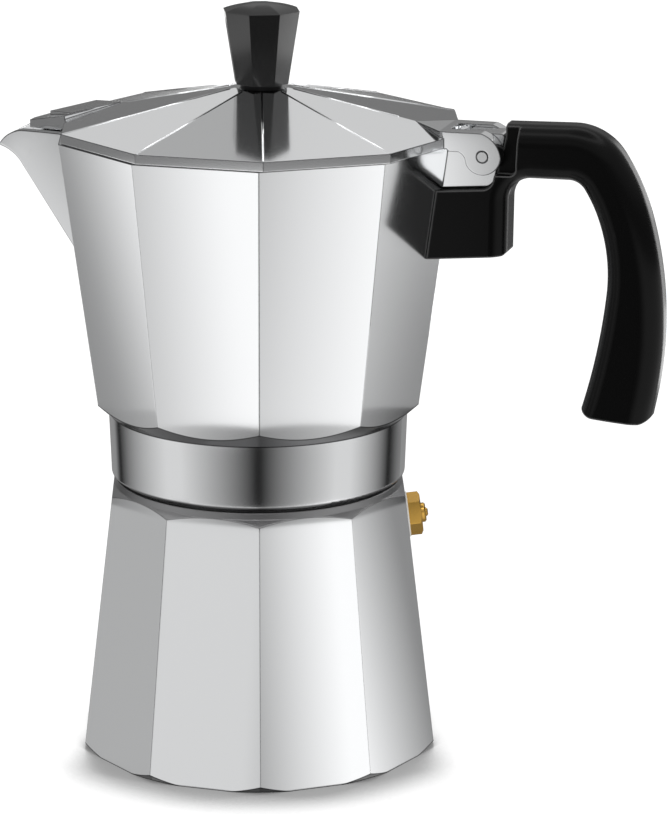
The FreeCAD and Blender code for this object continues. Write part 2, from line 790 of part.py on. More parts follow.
def make_collector():
    outside = make_vessel_outside()
    spout = make_spout_form("spout_outside", "0", "spout_nose")
    extrude(spout, outline(
        new_sketch(spout, "spout_rim"),
        ("rim_root_x + 60", "rim_root_z"), ("rim_root_x", "rim_root_z"), ("rim_bend_x", "rim_bend_z"),
        ("keel_tip_x", "keel_tip_z + 0.6", "rim_mid_x", "rim_mid_z"), ("keel_tip_x - 12", "keel_tip_z + 0.6"),
        ("keel_tip_x - 12", "vessel_roof + 60"), ("rim_root_x + 60", "vessel_roof + 60")), cut=True)
    cast = joined("Part::MultiFuse", "collector_cast", [outside, spout])

    inside = new_body("vessel_inside")
    loft(inside, [polygon(inside, "inside_low", vessel_corner("vessel_floor", "vessel_wall"), "vessel_floor"),
                  polygon(inside, "inside_high", vessel_corner("vessel_roof", "vessel_wall"), "vessel_roof")])
    revolve(inside, outline(
        new_sketch(inside, "collar_inside"),
        ("0", "collar_low_z - 1"), ("collar_bore", "collar_low_z - 1"), ("collar_bore", FILTER_LOW),
        ("filter_r + 0.1", FILTER_LOW), ("filter_r + 0.1", FILTER_LOW + " + filter_thick"),
        ("chamber_r", FILTER_LOW + " + filter_thick"), ("column_seat", "chamber_top"),
        ("column_seat", "vessel_floor + 1"), ("0", "vessel_floor + 1")))
    thread(inside, "collar_ridge", "collar_bore + thread_bite", "collar_bore - thread_depth",
           "collar_thread_z", "collar_thread_turns", cut=True)
    channel = make_spout_form("spout_inside", "spout_wall", "0.5 * spout_nose")
    space = joined("Part::MultiFuse", "collector_space", [inside, channel])
    return joined("Part::Cut", "collector", (cast, space))


def make_column():
    body = new_body("column")
    revolve(body, outline(new_sketch(body, "column_section"),
                          ("column_bore", "chamber_top + 0.6"), ("column_seat - 0.02", "chamber_top + 0.6"),
                          ("column_seat - 0.02", "vessel_floor"), ("column_low_r", "vessel_floor"),
                          ("column_top_r", "column_top - 2"), ("column_top_r - 2", "column_top"),
                          ("0", "column_top"), ("0", "column_top - column_cap"),
                          ("column_bore", "column_top - column_cap")))
    extrude(body, outline(new_sketch(body, "column_outlet", "YZ_Plane"),
                          ("-outlet_half", "outlet_low"), ("outlet_half", "outlet_low"),
                          ("outlet_half", "outlet_high"), ("-outlet_half", "outlet_high")), cut=True)
    return body


def make_hinge_pin():
    body = new_body("hinge_pin")
    extrude(body, circle(new_sketch(body, "pin_section"), "pin_x", "pin_z", "pin_r"), "2 * pin_half")
    return body


# Lid

def make_lid_shell():
    body = new_body("lid_shell")
    loft(body, [polygon(body, "lid_foot", "lid_corner", "lid_low", shift="lid_shift"),
                polygon(body, "lid_brow", "lid_corner", "lid_edge", shift="lid_shift")])
    loft(body, [polygon(body, "lid_brow_again", "lid_corner", "lid_edge", shift="lid_shift"),
                polygon(body, "lid_plateau", "plateau_corner", "plateau_z", shift="lid_shift")])
    loft(body, [polygon(body, "under_foot", "lid_corner - lid_rim_width", "lid_low", shift="lid_shift"),
                polygon(body, "under_brow", "lid_corner - lid_rim_width", "lid_edge - lid_thick + 0.4",
                        shift="lid_shift")], cut=True)
    loft(body, [polygon(body, "under_slope", "lid_corner - lid_rim_width", "lid_edge - lid_thick + 0.4",
                        shift="lid_shift"),
                polygon(body, "under_top", "plateau_corner", "plateau_z - lid_thick", shift="lid_shift")],
         cut=True)
    extrude(body, circle(new_sketch(body, "knob_hole", "XY_Plane", "plateau_z"),
                         "lid_shift", "0", "knob_screw_hole"),
            "3 * lid_thick", cut=True, both=False)
    return body


def make_lid_hinge():
    """Gusset and two ears on the handle side of the lid."""
    body = new_body("lid_hinge")
    brow = "ear_slot_x - 1.2"
    extrude(body, outline(
        new_sketch(body, "ear_side"),
        ("gusset_apex_x", "gusset_apex_z"), ("gusset_apex_x", "gusset_apex_z - 0.9 * lid_thick"),
        (brow, "lid_edge - 0.5"), (brow, "lid_low"),
        ("ear_slot_x", "lid_low"), ("ear_slot_x + 0.7", "ear_arm_low"),
        ("pin_x - 6.3", "ear_arm_low"),
        ("pin_x - 4.4", "pin_z - 2.04", "pin_x - 4.95", "pin_z - 0.2"),
        ("pin_x + ear_r", "pin_z", "pin_x", "pin_z - ear_r"),
        ("pin_x - 0.4", "ear_top", "pin_x + 3.15", "pin_z + 3.85"),
        ("ear_slot_x - 2", "ear_top")), "2 * ear_half")
    for side in (1, -1):
        flank = new_sketch(body, f"gusset_flank_{'left' if side > 0 else 'right'}", "XY_Plane", "vessel_roof")
        outline(flank, ("gusset_apex_x - 1", "0"), ("gusset_apex_x", "0"),
                ("ear_slot_x - 1.8", f"{side} * ear_half"), ("ear_slot_x - 1.8", f"{side} * (ear_half + 2)"),
                ("gusset_apex_x - 1", f"{side} * (ear_half + 2)"))
        extrude(body, flank, cut=True, both=False)
    slot = new_sketch(body, "ear_slot", "XY_Plane", "vessel_roof")
    outline(slot, ("ear_slot_x", "-ear_gap_half"), ("pin_x + 12", "-ear_gap_half"),
            ("pin_x + 12", "ear_gap_half"), ("ear_slot_x", "ear_gap_half"))
    extrude(body, slot, cut=True, both=False)
    extrude(body, circle(new_sketch(body, "ear_pin_hole"), "pin_x", "pin_z", "pin_hole"), cut=True)
    return body


def make_cover(label, plan, side):
    """Plate with a plan outline and a side outline."""
    seen_from_above = new_body(label + "_plan")
    extrude(seen_from_above, outline(new_sketch(seen_from_above, label + "_plan_line",
                                                "XY_Plane", "vessel_top - 8"),
                                     *plan), "24", both=False)
    seen_from_side = new_body(label + "_side")
    extrude(seen_from_side, outline(new_sketch(seen_from_side, label + "_side_line"), *side), "60")
    return joined("Part::MultiCommon", label, [seen_from_above, seen_from_side])


def make_lid():
    spout_plate = make_cover(
        "spout_plate",
        [("cover_tip_x", "-cover_tip_half"), ("cover_root_x", "-cover_root_half"), ("roof_apex_x - 1", "0"),
         ("cover_root_x", "cover_root_half"), ("cover_tip_x", "cover_tip_half")],
        [("cover_tip_x", "cover_tip_z"), ("cover_tip_x", "cover_tip_z - cover_thick"),
         ("cover_root_x - 1.4", "cover_root_z - 2 * cover_thick"), ("cover_root_x + 0.3", "lid_low + 1"),
         ("roof_apex_x - 1", "roof_apex_z - 1.8"), ("roof_apex_x - 1", "roof_apex_z - 0.35"),
         ("cover_root_x", "cover_root_z")])
    spout_roof = make_cover(
        "spout_roof",
        [("roof_tip_x", "0"), ("roof_side_x", "-roof_side_half"), ("roof_apex_x", "0"),
         ("roof_side_x", "roof_side_half")],
        [("roof_tip_x", "roof_tip_z"), ("roof_tip_x", "roof_tip_z - 1.5"),
         ("roof_side_x", "roof_side_z - 1.9"), ("roof_apex_x", "roof_apex_z - 1.2"),
         ("roof_apex_x", "roof_apex_z"), ("roof_side_x", "roof_side_z")])
    return joined("Part::MultiFuse", "lid", [make_lid_shell(), make_lid_hinge(), spout_plate, spout_roof])


# Knob with its washer and screw

def make_knob():
    body = new_body("knob")
    low = "plateau_z + knob_washer_thick"
    loft(body, [polygon(body, "knob_low", "knob_low_corner", low, KNOB_SIDES),
                polygon(body, "knob_shoulder_line", "knob_corner", "knob_shoulder", KNOB_SIDES)])
    loft(body, [polygon(body, "knob_brow", "knob_corner", "knob_shoulder", KNOB_SIDES),
                polygon(body, "knob_dome", "knob_dome_corner", "knob_dome_z", KNOB_SIDES),
                polygon(body, "knob_crown", "knob_crown_corner", "knob_crown_z", KNOB_SIDES),
                polygon(body, "knob_tip", "knob_tip_corner", "knob_top", KNOB_SIDES)], ruled=False)
    extrude(body, circle(new_sketch(body, "knob_screw_bore", "XY_Plane", low), "0", "0", "knob_screw_hole"),
            "knob_screw_reach + 1", cut=True, both=False, reverse=True)
    return move_x(body, "lid_shift")


def make_knob_washer():
    body = new_body("knob_washer")
    revolve(body, outline(new_sketch(body, "knob_washer_section"),
                          ("knob_screw_hole", "plateau_z"), ("knob_washer_r", "plateau_z"),
                          ("knob_washer_r", "plateau_z + knob_washer_thick"),
                          ("knob_screw_hole", "plateau_z + knob_washer_thick")))
    return move_x(body, "lid_shift")


def make_knob_screw():
    body = new_body("knob_screw")
    under = "plateau_z - lid_thick"
    revolve(body, outline(new_sketch(body, "knob_screw_section"),
                          ("0", under + " - knob_screw_head_thick"),
                          ("knob_screw_head - 1", under + " - knob_screw_head_thick"),
                          ("knob_screw_head", under + " - knob_screw_head_thick + 1"),
                          ("knob_screw_head", under),
                          ("knob_screw_r", under), ("knob_screw_r", "plateau_z + knob_screw_reach"),
                          ("0", "plateau_z + knob_screw_reach")))
    slot = new_sketch(body, "knob_screw_slot", "XY_Plane", under + " - knob_screw_head_thick")
    outline(slot, ("-knob_screw_head", "-0.4"), ("knob_screw_head", "-0.4"), ("knob_screw_head", "0.4"),
            ("-knob_screw_head", "0.4"))
    extrude(body, slot, "0.9", cut=True, both=False, reverse=True)
    return move_x(body, "lid_shift")


# Handle and its screw

def make_handle():
    body = new_body("handle")
    left = "block_x - 25"
    under = "tip_out_z - 8"
    under_low = "tip_out_z - 9"
    extrude(body, outline(
        new_sketch(body, "handle_side"),
        (left, "handle_top_in - 0.5"), ("handle_top_out_x", "handle_top_out"),
        ("back_turn_x", "back_turn_z", SMOOTH), ("back_high_x", "back_high_z", SMOOTH),
        ("back_low_x", "back_low_z", SMOOTH), ("back_low_x - 2.6", under, SMOOTH),
        (left, under)), "2 * handle_half")
    face = size("handle_half")
    round_edges(body, "handle_back_round", "handle_round", lambda edge: (
        abs(abs(middle(edge).y) - face) < 0.01
        and (middle(edge).x > size("back_high_x") or middle(edge).z > size("handle_top_in - 8"))))
    extrude(body, outline(
        new_sketch(body, "finger_gap"),
        ("block_x - 0.3", under), ("block_x + 0.4", "gap_top - gap_round"),
        ("block_x + gap_round + 0.4", "gap_top", SMOOTH), ("gap_out_x", "gap_top + 0.1", SMOOTH),
        ("gap_turn_x", "gap_turn_z", SMOOTH), ("grip_start_x", "grip_start_z", SMOOTH),
        ("grip_mid_x", "grip_mid_z", SMOOTH), ("grip_end_x", "grip_end_z", SMOOTH),
        ("grip_end_x - 4.6", under, SMOOTH)), cut=True)
    round_edges(body, "gap_edge", "gap_edge_round", lambda edge: (
        abs(abs(middle(edge).y) - face) < 0.01
        and size("block_x - 0.5") < middle(edge).x < size("grip_mid_x + 1")
        and middle(edge).z < size("gap_top + 1")))
    corner = "0.29 * block_corner"
    extrude(body, outline(
        new_sketch(body, "block_foot"),
        (left, "block_low_in - 0.2"), ("block_x - block_corner", "block_low_out"),
        ("block_x + 0.1", "block_low_out + block_corner", f"block_x - {corner}", f"block_low_out + {corner}"),
        ("block_x + 3", "block_low_out + block_corner"), ("block_x + 3", under_low),
        (left, under_low)), cut=True)
    extrude(body, outline(
        new_sketch(body, "tip_foot"),
        ("grip_end_x - 1.2", "grip_end_z + 1.5"),
        ("grip_end_x + 3.1", "tip_in_z", "grip_end_x + 0.5", "tip_in_z + 1.1"),
        ("tip_out_x", "tip_out_z", SMOOTH),
        ("back_low_x + 0.6", "back_low_z - 1.2", "back_low_x - 0.9", "tip_out_z + 1.3"),
        ("back_low_x + 4", "back_low_z - 1.2"), ("back_low_x + 4", under_low), ("grip_end_x - 9", under_low),
        ("grip_end_x - 9", "grip_end_z + 1.5")), cut=True)
    extrude(body, outline(
        new_sketch(body, "lug_room"),
        (left, "lug_low - lug_gap"), ("pin_x - 14", "lug_low - lug_gap"),
        ("lug_end - lug_corner", "lug_low_out - lug_gap"),
        ("lug_end + lug_gap", "lug_low_out + lug_corner",
         "lug_end - 0.29 * lug_corner + 0.7 * lug_gap", "lug_low_out + 0.29 * lug_corner - 0.7 * lug_gap"),
        ("tongue_end + lug_gap", "tongue_top - tongue_round"),
        ("tongue_end + lug_gap + 0.2", "handle_top_out + 4"),
        (left, "handle_top_out + 4")), cut=True)
    for side in (1, -1):
        name = "left" if side > 0 else "right"
        notch = new_sketch(body, f"ear_room_{name}", "XZ_Plane", f"{side} * handle_web_half")
        outline(notch, ("lug_end - 4", "handle_notch_z"), ("handle_notch_x - 2.2", "handle_notch_z"),
                ("handle_notch_x - 0.6", "handle_notch_z + 2.4",
                 "handle_notch_x - 1", "handle_notch_z + 0.8"),
                ("handle_notch_x", "handle_top_out + 4"), ("lug_end - 4", "handle_top_out + 4"))
        extrude(body, notch, "8", cut=True, both=False, reverse=side > 0)

    low, high = "block_low_in - 10", "lug_low_out + 5"
    loft(body, [polygon(body, "wall_low", vessel_corner(low, "-handle_gap"), low),
                polygon(body, "wall_high", vessel_corner(high, "-handle_gap"), high)],
         cut=True)
    floor = "block_low_in - 5"
    extrude(body, circle(new_sketch(body, "handle_screw_way", "XY_Plane", floor), "handle_screw_x", "0",
                         "handle_screw_hole"), "40", cut=True, both=False, reverse=True)
    extrude(body, circle(new_sketch(body, "handle_screw_sink", "XY_Plane", floor), "handle_screw_x", "0",
                         "handle_screw_head_hole"),
            f"handle_screw_seat - ({floor})", cut=True, both=False, reverse=True)
    return body


def make_handle_screw():
    body = new_body("handle_screw")
    revolve(body, outline(
        new_sketch(body, "handle_screw_section"),
        ("0", "handle_screw_seat - handle_screw_head_thick"),
        ("handle_screw_head - 0.8", "handle_screw_seat - handle_screw_head_thick"),
        ("handle_screw_head", "handle_screw_seat - handle_screw_head_thick + 0.8"),
        ("handle_screw_head", "handle_screw_seat"), ("handle_screw_r", "handle_screw_seat"),
        ("handle_screw_r", "handle_screw_top"), ("0", "handle_screw_top")))
    slot = new_sketch(body, "handle_screw_slot", "XY_Plane", "handle_screw_seat - handle_screw_head_thick")
    outline(slot, ("-handle_screw_head", "-0.4"), ("handle_screw_head", "-0.4"), ("handle_screw_head", "0.4"),
            ("-handle_screw_head", "0.4"))
    extrude(body, slot, "1", cut=True, both=False, reverse=True)
    return move_x(body, "handle_screw_x")


PIECES = [
    make_boiler(), make_valve_washer(), make_valve_body(), make_valve_retainer(), make_valve_plunger(),
    make_valve_spring(), make_funnel_basket(), make_funnel_tube(), make_funnel_strainer(), make_gasket(),
    make_filter_plate(), make_collector(), make_column(), make_hinge_pin(), make_lid(), make_knob(),
    make_knob_washer(), make_knob_screw(), make_handle(), make_handle_screw(),
]

doc.recompute()
for item in doc.Objects:
    if "Invalid" in item.State or "Error" in item.State:
        raise RuntimeError(f"{item.Label} failed: {item.State}")
for piece in PIECES:
    shape = piece.Shape
    if shape.isNull() or not shape.isValid() or len(shape.Solids) != 1:
        raise RuntimeError(f"{piece.Label}: {len(shape.Solids)} solids, valid {shape.isValid()}")

os.makedirs("parts", exist_ok=True)
for piece in PIECES:
    piece.Shape.exportStep(f"parts/{piece.Label}.step")
    print(f"{piece.Label}: {piece.Shape.Volume / 1000:.2f} cm3")
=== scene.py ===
"""Stove-top moka pot: finishes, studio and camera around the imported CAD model."""
import math

import bmesh
import bpy
from mathutils import Matrix, Vector


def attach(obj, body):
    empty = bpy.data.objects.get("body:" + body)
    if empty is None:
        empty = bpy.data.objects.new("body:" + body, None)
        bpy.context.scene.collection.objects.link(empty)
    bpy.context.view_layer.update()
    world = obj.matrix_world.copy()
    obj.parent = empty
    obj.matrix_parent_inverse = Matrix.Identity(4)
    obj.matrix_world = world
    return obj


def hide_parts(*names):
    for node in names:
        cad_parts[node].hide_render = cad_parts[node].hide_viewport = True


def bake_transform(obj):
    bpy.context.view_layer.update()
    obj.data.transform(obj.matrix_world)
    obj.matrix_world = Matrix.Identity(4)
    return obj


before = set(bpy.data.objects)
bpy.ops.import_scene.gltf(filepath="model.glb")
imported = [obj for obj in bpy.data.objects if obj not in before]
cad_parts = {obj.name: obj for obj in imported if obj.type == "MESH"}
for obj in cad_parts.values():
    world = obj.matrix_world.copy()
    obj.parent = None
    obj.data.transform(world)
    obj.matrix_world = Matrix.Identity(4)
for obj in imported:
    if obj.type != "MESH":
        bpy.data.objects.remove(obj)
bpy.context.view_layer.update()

MM = 0.001


class Wire:
    """A shader socket that takes part in Python arithmetic."""

    def __init__(self, board, socket):
        self.board = board
        self.socket = socket

    def maths(self, operation, *values):
        return self.board.node("ShaderNodeMath", {"operation": operation}, dict(enumerate(values)))

    def __add__(self, other):
        return self.maths("ADD", self, other)

    def __radd__(self, other):
        return self.maths("ADD", other, self)

    def __sub__(self, other):
        return self.maths("SUBTRACT", self, other)

    def __rsub__(self, other):
        return self.maths("SUBTRACT", other, self)

    def __mul__(self, other):
        return self.maths("MULTIPLY", self, other)

    def __rmul__(self, other):
        return self.maths("MULTIPLY", other, self)

    def __truediv__(self, other):
        return self.maths("DIVIDE", self, other)

    def root(self):
        return self.maths("SQRT", self)

    def size(self):
        return self.maths("ABSOLUTE", self)

    def larger(self, other):
        return self.maths("MAXIMUM", self, other)

    def step(self, low, high):
        """0 below low, 1 above high and an eased rise between them."""
        return self.board.node("ShaderNodeMapRange", {"interpolation_type": "SMOOTHSTEP"},
                               {"Value": self, "From Min": low, "From Max": high})

    def within(self, rise, fall):
        """1 between two limits, each with its own range to ease over."""
        return self.step(*rise) * (1 - self.step(*fall))


class Board:
    """The nodes of one material, or of the world."""

    def __init__(self, owner):
        owner.use_nodes = True
        self.tree = owner.node_tree
        self.tree.nodes.clear()

    def node(self, kind, settings=None, sockets=None, output=0):
        """Adds a node, sets it up, feeds its sockets, and gives one of its outputs."""
        made = self.tree.nodes.new(kind)
        for name, value in (settings or {}).items():
            if name == "stops":
                self.set_stops(made.color_ramp, value)
            else:
                setattr(made, name, value)
        for name, value in (sockets or {}).items():
            if isinstance(value, Wire):
                self.tree.links.new(value.socket, made.inputs[name])
            else:
                made.inputs[name].default_value = value
        return Wire(self, made.outputs[output]) if made.outputs else None

    @staticmethod
    def set_stops(ramp, stops):
        while len(ramp.elements) < len(stops):
            ramp.elements.new(1.0)
        for element, (place, tone) in zip(ramp.elements, stops):
            element.position = place
            element.color = (tone, tone, tone, 1)

    def spot(self):
        """The x, y and z of the point being shaded, in metres."""
        place = self.node("ShaderNodeTexCoord", output="Object")
        return [self.node("ShaderNodeSeparateXYZ", None, {0: place}, axis) for axis in range(3)]

    def mixed(self, share, first, second):
        """A colour between two colours."""
        return self.node("ShaderNodeMix", {"data_type": "RGBA"}, {0: share, 6: first, 7: second}, 2)


def light_of(grey):
    """The light that a display grey from 0 to 255 stands for."""
    share = grey / 255
    return share / 12.92 if share <= 0.04045 else ((share + 0.055) / 1.055) ** 2.4


def colour_of(red, green, blue):
    return light_of(red), light_of(green), light_of(blue), 1


# Heights and radii that the finishes follow
VESSEL_LOW_RADIUS, VESSEL_HIGH_RADIUS = 42.8 * MM, 51.9 * MM
VESSEL_LOW, VESSEL_HIGH = 96.9 * MM, 168.1 * MM
BOILER_LOW_RADIUS, BOILER_HIGH_RADIUS = 47.6 * MM, 39.4 * MM
BOILER_HIGH = 71 * MM
WALL_SKIN = 1.3 * MM
FLARE_RADIUS, FLARE_Z, FLARE_SLOPE = 42.5 * MM, 94.6 * MM, 0.908
SHOULDER_RADIUS, SHOULDER_Z, SHOULDER_SLOPE = 44 * MM, 69.35 * MM, -0.663
SHOULDER_TOP = 72.4 * MM
FOOT_RADIUS, FOOT_SLOPE = 48.35 * MM, 1.176
COLLAR_EDGE = 76 * MM
KNOB_SHOULDER = 200.7 * MM

ALUMINIUM = colour_of(246, 247, 248)
CAST_INSIDE = colour_of(196, 197, 198)
# Painted shade on the flare under the vessel's facets and on the collar's rounded lower edge
SHADED_FLARE = colour_of(92, 92, 93)
# Painted shade on the boiler's foot chamfer
SHADED_FOOT = colour_of(62, 62, 63)
# Painted shade on the boiler's shoulder and the step under the collar
SHOULDER_PAINTED_SHADE = colour_of(150, 150, 151)
# Painted shade in thin lines along the sharp edges of the metal
PAINTED_EDGE_SHADE = colour_of(104, 104, 105)
BLACK_PLASTIC = colour_of(5, 5, 5)
# Painted highlight in thin lines along the sharp edges of the plastic handle
PAINTED_PLASTIC_HIGHLIGHT = colour_of(74, 74, 74)
FACET_GLOSS, LID_GLOSS, MATT_CAST = 0.12, 0.1, 0.42
FACET_EDGE, LID_EDGE = 0.5 * MM, 0.4 * MM
PIN_EDGE, HANDLE_EDGE = 0.55 * MM, 0.8 * MM
# Cosine between the rounded and the flat surface, where the painted line along an edge is full and where it has faded
# out
LINE_FULL, LINE_GONE = 0.962, 0.992


def rounded(board, radius):
    """The direction of the surface with its sharp edges rounded off."""
    return board.node("ShaderNodeBevel", {"samples": 8}, {"Radius": radius})


def edge_share(board, radius):
    """1 along sharp edges, 0 on open faces."""
    flat = board.node("ShaderNodeNewGeometry", output="Normal")
    match = board.node("ShaderNodeVectorMath", {"operation": "DOT_PRODUCT"}, {0: rounded(board, radius), 1: flat},
                       "Value")
    return 1 - match.step(LINE_FULL, LINE_GONE)


def with_painted_edges(board, radius, face=ALUMINIUM, line=PAINTED_EDGE_SHADE):
    """The colour of a face, with another colour along its sharp edges: painted shade on the metal, a painted
    highlight on the black plastic.
    """
    return board.mixed(edge_share(board, radius), face, line)


def cast_gloss(matt_share):
    """Roughness from bright facets to matt cast surfaces."""
    return FACET_GLOSS + matt_share * (MATT_CAST - FACET_GLOSS)


def above(board, height, blur=0.1 * MM):
    """0 below a height, 1 above it."""
    return board.spot()[2].step(height - blur, height + blur)


def finish(name, nodes, colour, roughness, metallic=0.0, edge=0.0, **more):
    """A finish given to CAD nodes. An edge above 0 softens the look of sharp edges by that radius."""
    material = bpy.data.materials.new(name)
    board = Board(material)
    sockets = {"Base Color": colour, "Roughness": roughness, "Metallic": metallic}
    sockets.update(more)
    for key, value in list(sockets.items()):
        if callable(value):
            sockets[key] = value(board)
    if edge:
        sockets["Normal"] = rounded(board, edge)
    surface = board.node("ShaderNodeBsdfPrincipled", None, sockets)
    board.node("ShaderNodeOutputMaterial", None, {"Surface": surface})
    for name_of_node in nodes:
        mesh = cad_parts[name_of_node].data
        mesh.materials.clear()
        mesh.materials.append(material)
    return material


def reach(board):
    """Distance from the pot's axis."""
    x, y = board.spot()[:2]
    return (x * x + y * y).root()


def inside(board, low_radius, high_radius, low, high):
    """1 on surfaces within a chamber's wall, 0 on its outside."""
    wall = low_radius + (board.spot()[2] - low) * ((high_radius - low_radius) / (high - low)) - WALL_SKIN
    return 1 - (reach(board) - wall).step(-0.2 * MM, 0.2 * MM)


def on_cone(board, radius, height, slope):
    """1 on the cone around the pot's axis that runs through a radius and height."""
    line = height + (reach(board) - radius) * slope
    return 1 - (board.spot()[2] - line).size().step(0.15 * MM, 0.3 * MM)


def boiler_inside(board):
    return inside(board, BOILER_LOW_RADIUS, BOILER_HIGH_RADIUS, 0, BOILER_HIGH)


def shoulder_share(board):
    """1 on the boiler's shoulder and the step under the collar, where the colour has painted shade."""
    return above(board, SHOULDER_TOP).larger(on_cone(board, SHOULDER_RADIUS, SHOULDER_Z, SHOULDER_SLOPE))


def boiler_colour(board):
    # Painted shade: the shoulder is coloured darker, and the facet edges get painted dark lines
    shade_painted = board.mixed(shoulder_share(board), with_painted_edges(board, FACET_EDGE), SHOULDER_PAINTED_SHADE)
    # Painted shade: the foot chamfer is coloured darker
    footed = board.mixed(on_cone(board, FOOT_RADIUS, 0, FOOT_SLOPE), shade_painted, SHADED_FOOT)
    return board.mixed(boiler_inside(board), footed, CAST_INSIDE)


def vessel_inside(board):
    within_wall = inside(board, VESSEL_LOW_RADIUS, VESSEL_HIGH_RADIUS, VESSEL_LOW, VESSEL_HIGH)
    return above(board, VESSEL_LOW) * within_wall


def collector_colour(board):
    # Painted shade: the collar's rounded lower edge and the flare under the facets are coloured darker
    under = 1 - above(board, COLLAR_EDGE, 0.3 * MM)
    shaded = under.larger(on_cone(board, FLARE_RADIUS, FLARE_Z, FLARE_SLOPE))
    shade_painted = board.mixed(shaded, with_painted_edges(board, FACET_EDGE), SHADED_FLARE)
    return board.mixed(vessel_inside(board), shade_painted, CAST_INSIDE)


# Painted shade lines along the sharp edges of the boiler, collector, lid and hinge pin, and a painted highlight along
# the handle's edges
finish("boiler_aluminium", ["boiler"], boiler_colour,
       lambda b: cast_gloss(boiler_inside(b).larger(shoulder_share(b))), 1.0, FACET_EDGE)
finish("collector_aluminium", ["collector"], collector_colour,
       lambda b: cast_gloss(vessel_inside(b)), 1.0, FACET_EDGE)
finish("lid_aluminium", ["lid"], lambda b: with_painted_edges(b, LID_EDGE), LID_GLOSS, 1.0, LID_EDGE)
finish("spun_aluminium", ["funnel_basket", "funnel_tube", "funnel_strainer", "filter_plate"],
       colour_of(214, 214, 214), 0.33, 1.0)
finish("cast_column", ["column"], CAST_INSIDE, MATT_CAST, 1.0)
BRIGHT_STEEL = finish("bright_steel", ["knob_screw", "handle_screw", "valve_spring"], colour_of(190, 188, 185), 0.22,
                      1.0, 0.15 * MM)
finish("pin_steel", ["hinge_pin"], lambda b: with_painted_edges(b, PIN_EDGE), 0.2, 1.0)
finish("dark_steel", ["knob_washer"], colour_of(40, 40, 40), 0.4, 1.0)
finish("brass", ["valve_body", "valve_retainer", "valve_plunger"], colour_of(232, 184, 92), 0.2, 1.0, 0.2 * MM)
finish("seal_rubber", ["gasket", "valve_washer"], colour_of(226, 224, 218), 0.6)
finish("knob_plastic", ["knob"], BLACK_PLASTIC, 0.18, edge=0.25 * MM, **{
    "Specular IOR Level": 0.3, "Coat Roughness": 0.18,
    "Coat Weight": lambda b: 1 - above(b, KNOB_SHOULDER)})
finish("handle_plastic", ["handle"], lambda b: with_painted_edges(b, HANDLE_EDGE, BLACK_PLASTIC, PAINTED_PLASTIC_HIGHLIGHT), 0.25,
       edge=0.4 * MM, **{"Specular IOR Level": 0.12})


def new_piece(name, shape, material):
    mesh = bpy.data.meshes.new(name)
    shape.to_mesh(mesh)
    shape.free()
    mesh.materials.append(material)
    made = bpy.data.objects.new(name, mesh)
    bpy.context.scene.collection.objects.link(made)
    return made


# The valve's spring, as a smooth-shaded copy of the CAD spring, which is hidden
VALVE_AXIS = Vector((0.94453, 0.3069, 0.11698))


def add_spring_coil():
    shape = bmesh.new()
    shape.from_mesh(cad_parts["valve_spring"].data)
    bmesh.ops.remove_doubles(shape, verts=shape.verts, dist=0.001 * MM)
    along = sorted((corner.co for corner in shape.verts), key=VALVE_AXIS.dot)
    inner, length = along[0].copy(), VALVE_AXIS.dot(along[-1] - along[0])
    for face in shape.faces:
        face.smooth = True
    coil = new_piece("valve_spring_coil", shape, BRIGHT_STEEL)
    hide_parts("valve_spring")
    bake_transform(coil)


# Beads along the ridges of the lid, which end early where the hinge and the cover of the spout are
FACETS = 10
RIDGE_LOW, RIDGE_HIGH = (54.6, 170.87), (8.8, 180.14)
SHORT_RIDGES, SHORT_REACH = (0, 5), 37.5
RIDGE_CENTRE = 1.2
BEAD, BEAD_SUNK = 0.32 * MM, 0.14 * MM


def add_ridge_beads():
    shape = bmesh.new()
    low_reach, low_z = RIDGE_LOW
    high_reach, high_z = RIDGE_HIGH
    short_low = SHORT_REACH, low_z + (high_z - low_z) * (low_reach - SHORT_REACH) / (low_reach - high_reach)
    for k in range(FACETS):
        turn = math.radians(360 / FACETS * k)
        low, high = [Vector((RIDGE_CENTRE + far * math.cos(turn), far * math.sin(turn), z)) * MM
                     for far, z in (short_low if k in SHORT_RIDGES else RIDGE_LOW, RIDGE_HIGH)]
        lie = (high - low).to_track_quat("Z", "Y").to_matrix().to_4x4()
        middle = (low + high) / 2 - Vector((0, 0, BEAD_SUNK))
        bmesh.ops.create_cone(shape, cap_ends=True, segments=12, radius1=BEAD, radius2=BEAD,
                              depth=(high - low).length, matrix=Matrix.Translation(middle) @ lie)
    for face in shape.faces:
        face.smooth = len(face.verts) == 4
    beads = new_piece("lid_ridge_beads", shape, finish("bead_aluminium", [], ALUMINIUM, FACET_GLOSS, 1.0))
    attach(beads, "lid")


# Camera, at the photograph's viewing angle
CAMERA_PLACE = Vector((0.27998, -0.87739, 0.34268))
CAMERA_AHEAD = Vector((-0.27295, 0.92554, -0.26243))
CAMERA_RIGHT = Vector((0.95897, 0.28350, 0.00244))
PICTURE_HEIGHT = 816
FOCAL_PIXELS = 3525.6


def set_camera():
    lens = bpy.data.cameras.new("camera")
    lens.sensor_width = 36
    lens.lens = FOCAL_PIXELS * lens.sensor_width / PICTURE_HEIGHT
    camera = bpy.data.objects.new("camera", lens)
    bpy.context.scene.collection.objects.link(camera)
    ahead = CAMERA_AHEAD.normalized()
    up = CAMERA_RIGHT.cross(ahead).normalized()
    right = ahead.cross(up)
    turn = Matrix((right, up, -ahead)).transposed().to_4x4()
    camera.matrix_world = Matrix.Translation(CAMERA_PLACE) @ turn
    bpy.context.scene.camera = camera


